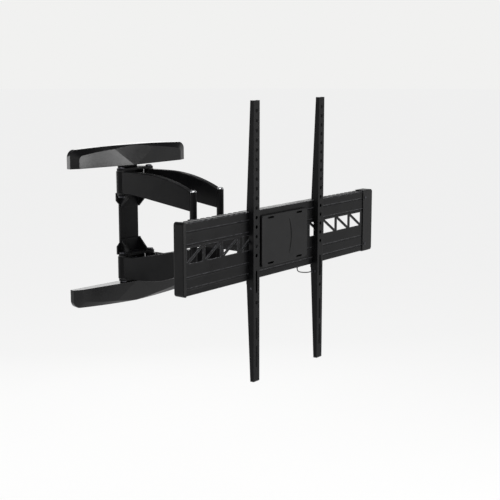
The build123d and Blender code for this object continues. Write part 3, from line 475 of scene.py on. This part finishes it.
# Inner arms: a deep bar above and one below on each side, folded from 3.5 mm sheet and coated black. Each is
# welded to its elbow post with a rippled bead up both sides.
arm_coat = powder_coat("black_powder_coat_arms", "#0b0b0c", "#131314", rough=0.34, peel_mm=4.0)
dress(arm_coat, "left_upper_arm", "left_lower_arm", "right_upper_arm", "right_lower_arm")
elbows = {"left": np.array(joints["elbow_turn"]["pos_m"]), "right": np.array(joints["right_fold"]["pos_m"])}
weld_length = 49.0
weld_levels = np.array([65.5, -97.5]) * mm
weld_back = 4.6 * mm
weld_sides = np.array([[-9.6], [9.6]]) * mm
weld_rings = bead_rings(weld_length, radius=2.3, ripple=3.0)
for side, shoulder in zip(("left", "right"), shoulders):
    along = (elbows[side] - shoulder) / np.linalg.norm(elbows[side] - shoulder)
    beside = np.cross((0.0, 0.0, 1.0), along)
    seams = elbows[side] - weld_back * along + weld_sides * beside
    beads = turned(weld_rings, raised(seams, weld_levels), (0, 0, 1), sides=14)
    seat_piece(side + "_post_welds", beads, side + "_inner_arm", "black_steel", arm_coat, crease=60)

# Elbow posts: 21 mm round bars that the forearms turn on, coated a smoother black. A bright plated cap is
# pressed into each end, and a turned collar holds the forearm's barrel from above and below.
post_coat = powder_coat("smooth_black_coat", "#0d0d0e", "#161617", rough=0.3, peel_mm=5.0)
dress(post_coat, "left_elbow_post", "right_elbow_post")


def bright_zinc(name, clean, handled):
    """Clear zinc plate on a turned cap. It is a pale bright metal with faint rings from the lathe, a
    little dulled in patches by handling."""
    finish, tree, place = new_finish(name)
    # Lathe marks run level round each cap, so they are bands up its height. Real ones are finer, and they are
    # drawn coarser so that they show. A wave's length is a full turn over 20 times its scale.
    mark_mm = 1.1875
    mark_scale = 2 * math.pi / 20 * 1000 / mark_mm
    marks = add(
        tree, "TexWave", {"Vector": place, "Scale": mark_scale, "Distortion": 0.3}, bands_direction="Z"
    ).outputs[0]
    dull_mm = 7.0
    dull = add(tree, "TexNoise", {"Vector": place, "Scale": 1000 / dull_mm, "Detail": 3.0}).outputs[0]
    colour = add(tree, "Mix", {0: dull, 6: paint(clean), 7: paint(handled)}, data_type="RGBA").outputs[2]
    gloss = add(
        tree, "MapRange", {"Value": dull, "From Min": 0.3, "From Max": 0.7, "To Min": 0.16, "To Max": 0.3}
    ).outputs[0]
    skin = add(tree, "Bump", {"Height": marks, "Strength": 0.12, "Distance": 0.00006}).outputs[0]
    plate = add(
        tree, "BsdfPrincipled", {"Base Color": colour, "Metallic": 1.0, "Roughness": gloss, "Normal": skin}
    )
    add(tree, "OutputMaterial", {"Surface": plate.outputs[0]})
    return finish


cap_zinc = bright_zinc("bright_zinc_plate", "#d9dadb", "#b4b5b8")
cap_height = 6.0
dome_base = 1.6
dome_radius = 10.1
dome_swell = np.linspace(0, np.pi / 2, 12)[:-1]
dome_rise = dome_base + (cap_height - dome_base) * np.sin(dome_swell)
dome_rings = np.stack([dome_radius * np.cos(dome_swell), dome_rise, np.zeros_like(dome_swell)], 1)
cap_rings = np.concatenate([[(9.6, 0.0, 0), (9.6, 0.5, 0), (10.3, 0.7, 0), (10.4, 1.2, 0)], dome_rings])
collar_height = 6.0
collar_section = rounded_band(inner=10.5, outer=17.0, height=collar_height, rounding=1.0)
for side, elbow in elbows.items():
    body = side + "_inner_arm"
    cap_node = side + "_post_caps"
    cap_low, cap_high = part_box(cap_node)
    cap_feet = raised(elbow, (cap_high.z - cap_height * mm, cap_low.z + cap_height * mm))
    caps = turned(cap_rings, cap_feet, [(0, 0, 1), (0, 0, -1)])
    seat_piece(side + "_bright_caps", caps, body, "bright_cap", cap_zinc, cap_node)
    collar_node = side + "_elbow_collars"
    collar_low, collar_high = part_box(collar_node)
    collars = hoops(collar_section, raised(elbow, (collar_high.z - collar_height * mm, collar_low.z)))
    seat_piece(side + "_turned_collars", collars, body, "post_steel", post_coat, collar_node)

# Elbow bushes: thin sleeves of sintered bronze, pressed from powder and soaked in oil, that fill the gap
# between post and barrel. Only their rims show.


def sintered_bronze(name, clean, oiled):
    """Sintered bronze. It is a dull brown metal, speckled with open pores and dark with oil."""
    finish, tree, place = new_finish(name)
    # Real pores are finer than 0.1 mm. They are drawn coarser so that they show.
    pore_mm = 0.7
    pores = add(tree, "TexVoronoi", {"Vector": place, "Scale": 1000 / pore_mm}).outputs["Distance"]
    oil_mm = 9.0
    oil = add(tree, "TexNoise", {"Vector": place, "Scale": 1000 / oil_mm, "Detail": 3.0}).outputs[0]
    colour = add(tree, "Mix", {0: oil, 6: paint(clean), 7: paint(oiled)}, data_type="RGBA").outputs[2]
    gloss = add(
        tree, "MapRange", {"Value": oil, "From Min": 0.3, "From Max": 0.7, "To Min": 0.4, "To Max": 0.56}
    ).outputs[0]
    skin = add(tree, "Bump", {"Height": pores, "Strength": 0.3, "Distance": 0.00012}).outputs[0]
    metal = add(
        tree, "BsdfPrincipled", {"Base Color": colour, "Metallic": 1.0, "Roughness": gloss, "Normal": skin}
    )
    add(tree, "OutputMaterial", {"Surface": metal.outputs[0]})
    return finish


bush_bronze = sintered_bronze("sintered_bronze", "#8a6a44", "#5d4529")
dress(bush_bronze, "left_elbow_bush", "right_elbow_bush")

# Forearms: one deep bar on each elbow post, folded from sheet with a shallow panel in both sides, and with a
# barrel welded in at each end. They are coated like the inner arms.
dress(arm_coat, "left_forearm", "right_forearm")

# Head carrier: two laser cut plates on a web, which the forearms hold by two wrist pins. The swivel pin
# stands in its nose. Pins are turned and plated black, and nylon washers part the plates from the forearms.
dress(black_coat, "head_carrier")
for node, shank_radius in (("left_wrist_pin", 6.0), ("right_wrist_pin", 6.0), ("swivel_pin", 7.0)):
    pin = headed_pin(node, shank_radius, head_radius=9.0, head_height=4.0, socket_radius=3.2)
    seat_piece(node + "_turned", pin, "carrier", "dark_fastener", zinc, node)
wrist_low, wrist_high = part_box("wrist_washers")
wrist_y = (wrist_low.y + wrist_high.y) / 2
wrist_sides = (wrist_low.x + washer_radius * mm, wrist_high.x - washer_radius * mm)
wrist_levels = (wrist_high.z - washer_height * mm, wrist_low.z)
wrist_hubs = raised([(x, wrist_y, 0.0) for x in wrist_sides], wrist_levels)
wrist_section = rounded_band(inner=6.0, outer=washer_radius, height=washer_height, rounding=0.5)
wrist_rings = hoops(wrist_section, wrist_hubs)
seat_piece("wrist_nylon_washers", wrist_rings, "carrier", "washer_plastic", washer_nylon, "wrist_washers")

# Swivel block: a barrel on the swivel pin with two cheeks that hold the tilt pin across. Fluted knobs of
# moulded nylon on the pin's ends are turned by hand to set how hard the tilt is clamped.
dress(black_coat, "swivel_block")
dress(zinc, "tilt_pin")
swivel_axis = np.array(joints["head_swivel"]["pos_m"])
rail_along = np.array(joints["head_tilt"]["axis"], float)
rail_into = np.cross((0.0, 0.0, 1.0), rail_along)


def head_place(x, y, z):
    """Points of the head, given in mm along the rail, in towards the back and up from the swivel axis."""
    x, y, z = (np.asarray(value, float)[..., None] * mm for value in (x, y, z))
    return swivel_axis + x * rail_along + y * rail_into + z * np.array([0.0, 0.0, 1.0])


def flutes(turn):
    """Outline of a knob with finger flutes: radius 1 less a raised cosine, squared so that the lobes are
    broad."""
    flute_count = 8
    flute_depth = 0.16
    return 1 - flute_depth * (0.5 - 0.5 * np.cos(flute_count * turn)) ** 2


knob_nylon = moulded_abs("grained_black_nylon", "#101011", "#1a1a1b", rough=0.46, grain_mm=1.2, gleam=0.25)
knob_radius = 13.5
knob_height = 12.0
crown_inset = 2.2
crown_drop = 2.4
crown_bend = np.linspace(0, np.pi / 2, 6)
crown_radius = knob_radius - crown_inset * (1 - np.cos(crown_bend))
crown_rise = knob_height - crown_drop * (1 - np.sin(crown_bend))
knob_rings = np.concatenate(
    [
        [(8.0, 0.0, 0), (12.9, 0.0, 0), (knob_radius, 0.5, 0), (knob_radius, 2.6, 0)],
        [(13.1, 3.2, 0.4), (knob_radius, 4.0, 1)],
        np.stack([crown_radius, crown_rise, np.ones_like(crown_bend)], 1),
        [(8.0, knob_height, 0), (7.4, 11.4, 0), (5.4, 11.4, 0), (5.0, 11.9, 0), (1.0, 11.9, 0)],
    ]
)
knob_side = 40.0
tilt_pin_inset = -25.0
knob_feet = head_place([knob_side, -knob_side], tilt_pin_inset, 0.0)
knob_axes = np.stack([rail_along, -rail_along])
knobs = turned(knob_rings, knob_feet, knob_axes, sides=96, outline=flutes)
seat_piece("fluted_tilt_knobs", knobs, "swivel", "small_plastic", knob_nylon, "tilt_knobs", crease=40)

# Tilt frame: a plate with two lugs on the tilt pin, cut and welded from 4 and 6 mm plate. The level bolt
# passes through it and the rail's spine, with a button head in front and a lock nut behind.
dress(black_coat, "tilt_frame")
# The level bolt and the rail's middle lie this far above the tilt pin.
rail_rise = 12.0
level_bolt_inset = -36.7
level_place = head_place(0.0, level_bolt_inset, rail_rise)
level_rings = button_rings(
    shank_radius=5.0, shank_length=7.5, head_radius=9.0, head_height=4.0, socket_radius=3.4
)
level_bolt = turned(level_rings, level_place, -rail_into, outline=hexagon)
nut_rings = [
    (8.996, 0.0, 1),
    (8.996, 3.0, 1),
    (7.958, 4.0, 0.2),
    (5.709, 4.0, 0),
    (5.363, 3.6, 0),
    (4.325, 3.6, 0),
    (3.979, 4.0, 0),
    (0.692, 4.0, 0),
]
level_nut = turned(nut_rings, level_place, rail_into, sides=48, outline=hexagon)
seat_piece("level_bolt_and_nut", joined([level_bolt, level_nut]), "tilt", "dark_fastener", zinc, "level_bolt")

# Rail: a long panel pressed from 3 mm sheet, with sloped ledges, braced windows and a scalloped top edge that
# the brackets index on. A hat section spine behind it takes the level bolt. Both are coated black.
# The rail's coat has a wide, light edge line: a painted highlight along its ledges, windows, struts, scallops
# and edges.
rail_coat = powder_coat(
    "black_powder_coat_rail", "#0b0b0c", "#131314", rough=0.3, peel_mm=3.5, edge_mm=4.0, wear_and_highlight_tone="#606064"
)
dress(rail_coat, "rail_panel")
dress(black_coat, "rail_spine")

# End caps: moulded ABS sleeves pushed over both ends of the rail. The right one has a wide lip that two small
# button head screws hold, and the left one a narrow lip.
trim_abs = moulded_abs("grained_black_abs", "#0c0c0d", "#141415", rough=0.36, grain_mm=1.6, gleam=0.12)
dress(trim_abs, "left_end_cap", "right_end_cap")
screw_along = 400.0
screw_inset = -60.0
screw_reach = 70.0
screw_feet = head_place(screw_along, screw_inset, [rail_rise - screw_reach, rail_rise + screw_reach])
screw_rings = button_rings(
    shank_radius=2.0, shank_length=10.2, head_radius=4.0, head_height=2.0, socket_radius=1.5
)
screws = turned(screw_rings, screw_feet, -rail_into, outline=hexagon)
seat_piece("end_cap_button_screws", screws, "rail", "dark_fastener", zinc, "end_cap_screws")

# Centre cover: a thin ABS tray clipped on the middle of the rail, with a slot in each corner and one curved
# crease down its face.
dress(trim_abs, "centre_cover")

# Tall brackets: two channels folded from 2.5 mm sheet that hook over the rail, punched with a row of screw
# holes and coated black. A moulded plug closes each foot.
bracket_coat = powder_coat("black_powder_coat_brackets", "#0c0c0d", "#151516", rough=0.4, peel_mm=3.5)
dress(bracket_coat, "left_bracket", "right_bracket")
dress(knob_nylon, "left_bracket_foot", "right_bracket_foot")

# Latches: nylon slides that catch under the rail's lower lip. Each hangs on a plated pin in its bracket and
# is pulled down to free the bracket from the rail.
dress(knob_nylon, "left_latch", "right_latch")
dress(zinc, "left_latch_pin", "right_latch_pin")

# Tether: a thin braided cord from a crimped eyelet under the rail to a clip on the right bracket. It hangs in
# a loose bow between them.
route = [
    (63.0, -56.0, -95.0),
    (63.0, -56.0, -101.5),
    (71.0, -57.0, -108.0),
    (89.0, -62.0, -111.5),
    (103.5, -66.0, -113.0),
    (119.5, -66.0, -113.0),
]
route_x, route_y, route_z = np.transpose(route)
route_points = head_place(route_x, route_y, route_z + rail_rise)
eyelet_rings = [
    (1.5, 0.0, 0),
    (2.4, 0.0, 0),
    (2.8, 0.8, 0),
    (3.1, 2.2, 0),
    (3.9, 3.4, 0),
    (4.0, 4.4, 0),
    (3.6, 5.0, 0),
    (1.5, 5.2, 0),
    (1.5, 8.0, 0),
]
eyelet = turned(eyelet_rings, route_points[0], (0, 0, 1), sides=32)
seat_piece("crimped_eyelet", eyelet, "rail", "dark_fastener", zinc, "tether_eyelet")
clip_rings = [
    (1.6, 0.0, 0),
    (2.6, 0.0, 0),
    (3.0, 0.4, 0),
    (3.2, 1.6, 0),
    (3.0, 2.2, 0),
    (3.8, 2.8, 0),
    (4.0, 3.4, 0),
    (4.0, 5.0, 0),
    (1.0, 5.0, 0),
]
tether_clip = turned(clip_rings, route_points[-1], rail_along, sides=32)
seat_piece("tether_end_clip", tether_clip, "rail", "dark_fastener", zinc, "tether_clip")
route_curve = bpy.data.curves.new("tether_route", "CURVE")
route_curve.dimensions = "3D"
route_curve.resolution_u = 16
route_line = route_curve.splines.new("NURBS")
route_line.points.add(len(route_points) - 1)
route_line.points.foreach_set("co", np.column_stack([route_points, np.ones(len(route_points))]).ravel())
route_line.order_u = 3
route_line.use_endpoint_u = True
route_object = bpy.data.objects.new("tether_route", route_curve)
route_mesh = bpy.data.meshes.new_from_object(route_object)
trace = np.zeros(len(route_mesh.vertices) * 3)
route_mesh.vertices.foreach_get("co", trace)
trace = trace.reshape(-1, 3)
bpy.data.objects.remove(route_object)
bpy.data.curves.remove(route_curve)
bpy.data.meshes.remove(route_mesh)


def braided_cord(name, shade, light):
    """Braided polyester. Two sets of strands cross round the cord, so fine diamonds of light and shade
    run along it."""
    finish, tree, lay = new_finish(name, "UV")
    # The map's unit is one turn across and one metre along. Strands are drawn 1.2 mm apart, three to a turn.
    strand_mm = 1.2
    strands = 3.0
    laid = add(tree, "Mapping", {"Vector": lay, "Scale": (strands, 1000 / strand_mm, 1.0)}).outputs[0]
    across, along = add(tree, "SeparateXYZ", {"Vector": laid}).outputs[:2]
    over = add(tree, "Math", {0: across, 1: along}, operation="ADD").outputs[0]
    under = add(tree, "Math", {0: across, 1: along}, operation="SUBTRACT").outputs[0]
    over_wave = add(tree, "Math", {0: over, 1: 1.0}, operation="PINGPONG").outputs[0]
    under_wave = add(tree, "Math", {0: under, 1: 1.0}, operation="PINGPONG").outputs[0]
    braid = add(tree, "Math", {0: over_wave, 1: under_wave}, operation="MULTIPLY").outputs[0]
    colour = add(tree, "Mix", {0: braid, 6: paint(shade), 7: paint(light)}, data_type="RGBA").outputs[2]
    skin = add(tree, "Bump", {"Height": braid, "Strength": 0.7, "Distance": 0.0003}).outputs[0]
    body = add(
        tree, "BsdfPrincipled", {"Base Color": colour, "Roughness": 0.62, "Normal": skin, "Sheen Weight": 0.2}
    )
    add(tree, "OutputMaterial", {"Surface": body.outputs[0]})
    return finish


cord_braid = braided_cord("braided_polyester", "#0f0f10", "#2b2b2d")
cord_radius = 1.5 * mm
cord_sides = 16
cord_dir = np.gradient(trace, axis=0)
cord_dir = cord_dir / np.linalg.norm(cord_dir, axis=1, keepdims=True)
cord_across = np.broadcast_to(rail_into, trace.shape)
cord_across = cord_across - (cord_across * cord_dir).sum(1, keepdims=True) * cord_dir
cord_across = cord_across / np.linalg.norm(cord_across, axis=1, keepdims=True)
cord_up = np.cross(cord_dir, cord_across)
cord_turn = np.linspace(0, 2 * np.pi, cord_sides, endpoint=False)
cord_round = np.stack([np.cos(cord_turn), np.sin(cord_turn)], 1) * cord_radius
cord_shape = carried(cord_round, trace, cord_across, cord_up, closed=False)
tether = seat_piece("braided_tether", cord_shape, "rail", "tether", cord_braid, "tether_cord")
cord_corner = np.zeros(len(tether.data.loops), int)
tether.data.loops.foreach_get("vertex_index", cord_corner)
cord_step = np.concatenate([[0], np.cumsum(np.linalg.norm(np.diff(trace, axis=0), axis=1))])
cord_share = (cord_corner % cord_sides) / cord_sides
# A face that closes the turn has its far corners at a share of 1, where the next face starts from 0.
quad_share = cord_share[: (len(trace) - 1) * cord_sides * 4].reshape(-1, 4)
quad_share[(quad_share.max(1) > 0.9)[:, None] & (quad_share < 0.1)] = 1.0
cord_map = np.stack([cord_share, cord_step[cord_corner // cord_sides]], 1)
tether.data.uv_layers.new(name="lay").data.foreach_set("uv", cord_map.ravel())

# Floor: a plain pale studio floor well below the mount. It fades into the pale surround, and keeps a soft
# shadow of what hangs above it.


def shown_rays(tree):
    """1 for rays that show the studio itself, to the camera or in metal and glass, and 0 for those that
    light."""
    ray = add(tree, "LightPath").outputs
    mirrored = add(
        tree, "Math", {0: ray["Is Glossy Ray"], 1: ray["Is Transmission Ray"]}, operation="MAXIMUM"
    ).outputs[0]
    return add(tree, "Math", {0: ray["Is Camera Ray"], 1: mirrored}, operation="MAXIMUM").outputs[0]


floor_level = -1.2
floor_reach = 60.0
floor_sides = 64
floor_turn = np.linspace(0, 2 * np.pi, floor_sides, endpoint=False)
floor_ring = floor_reach * np.stack([np.cos(floor_turn), np.sin(floor_turn)], 1)
floor_points = np.column_stack([floor_ring, np.full(floor_sides, floor_level)])
floor_mesh = bpy.data.meshes.new("studio_floor")
floor_mesh.from_pydata(floor_points.tolist(), [], [list(range(floor_sides))])
floor_paint, tree, place = new_finish("pale_floor_paint")
trowel_mm = 333.3
trowel = add(tree, "TexNoise", {"Vector": place, "Scale": 1000 / trowel_mm, "Detail": 4.0}).outputs[0]
tint = add(tree, "Mix", {0: trowel, 6: paint("#f4f4f3"), 7: paint("#f1f1f0")}, data_type="RGBA").outputs[2]
matt = add(tree, "BsdfDiffuse", {"Color": tint}).outputs[0]
glow = add(tree, "Emission", {"Color": paint("#ffffff"), "Strength": 1.0}).outputs[0]
glow_share = 0.7
share = add(tree, "Math", {0: shown_rays(tree), 1: glow_share}, operation="MULTIPLY").outputs[0]
blend = add(tree, "MixShader", {0: share, 1: matt, 2: glow})
add(tree, "OutputMaterial", {"Surface": blend.outputs[0]})
floor_mesh.materials.append(floor_paint)
studio_floor = bpy.data.objects.new("studio_floor", floor_mesh)
bpy.context.scene.collection.objects.link(studio_floor)

# Surround: a pale studio, brightest at eye level and greyer overhead, which is also what metal shows. Other
# rays get a plain even level.
world = bpy.data.worlds.new("pale_studio")
bpy.context.scene.world = world
world.use_nodes = True
tree = world.node_tree
tree.nodes.clear()
heading = add(tree, "TexCoord").outputs["Generated"]
height = add(tree, "SeparateXYZ", {"Vector": heading}).outputs[2]
overhead = add(
    tree, "MapRange", {"Value": height, "From Min": 0.12, "From Max": 0.5, "To Min": 0.0, "To Max": 1.0}
).outputs[0]
sky = add(tree, "Mix", {0: overhead, 6: paint("#f1f1f0"), 7: paint("#58585a")}, data_type="RGBA").outputs[2]
shown_sky = add(tree, "Background", {"Color": sky, "Strength": 1.0}).outputs[0]
even = add(tree, "Background", {"Color": paint("#ffffff"), "Strength": 0.62}).outputs[0]
surround = add(tree, "MixShader", {0: shown_rays(tree), 1: even, 2: shown_sky})
add(tree, "OutputWorld", {"Surface": surround.outputs[0]})

# Lamps: a soft box to the right of the camera that the front faces mirror, a fill behind on the left for the
# end faces, a low panel behind on the right that glances off upper faces, and a wide panel overhead.
lamp_aim = np.array([0.0, -0.3, 0.0])


def soft_box(name, place, width, height, watts):
    """Area lamp of a width and a height in metres, at a place, turned to face the aim."""
    lamp = bpy.data.lights.new(name, "AREA")
    lamp.shape = "RECTANGLE"
    lamp.size = width
    lamp.size_y = height
    lamp.energy = watts
    holder = bpy.data.objects.new(name, lamp)
    holder.location = place
    facing = lamp_aim - place
    level = math.hypot(facing[0], facing[1])
    holder.rotation_euler = (math.atan2(level, -facing[2]), 0, math.atan2(-facing[0], facing[1]))
    holder.visible_camera = False
    bpy.context.scene.collection.objects.link(holder)


soft_box("front_soft_box", (1.5, -2.9, 0.2), width=1.1, height=1.0, watts=30.0)
soft_box("left_fill", (-2.2, 2.4, 0.2), width=1.0, height=1.4, watts=24.0)
soft_box("back_panel", (1.9, 2.1, 0.3), width=2.0, height=1.2, watts=9.0)
soft_box("overhead_panel", (-0.3, -0.8, 2.6), width=2.2, height=2.2, watts=60.0)

# Camera: at eye height to the left of the mount, a little above it and turned slightly down. Its lens is
# long, so that the rail's edges run nearly parallel.
look_down = math.radians(9.924)
look_aside = math.radians(-47.424)
lens = bpy.data.cameras.new("viewpoint")
lens.sensor_width = 36.0
lens.lens = 78.78
lens.clip_end = 200.0
viewpoint = bpy.data.objects.new("viewpoint", lens)
viewpoint.location = (-2.1897, -2.5204, 0.4924)
viewpoint.rotation_euler = (math.pi / 2 - look_down, 0.0, look_aside)
bpy.context.scene.collection.objects.link(viewpoint)
bpy.context.scene.camera = viewpoint
bpy.context.scene.view_settings.view_transform = "Standard"
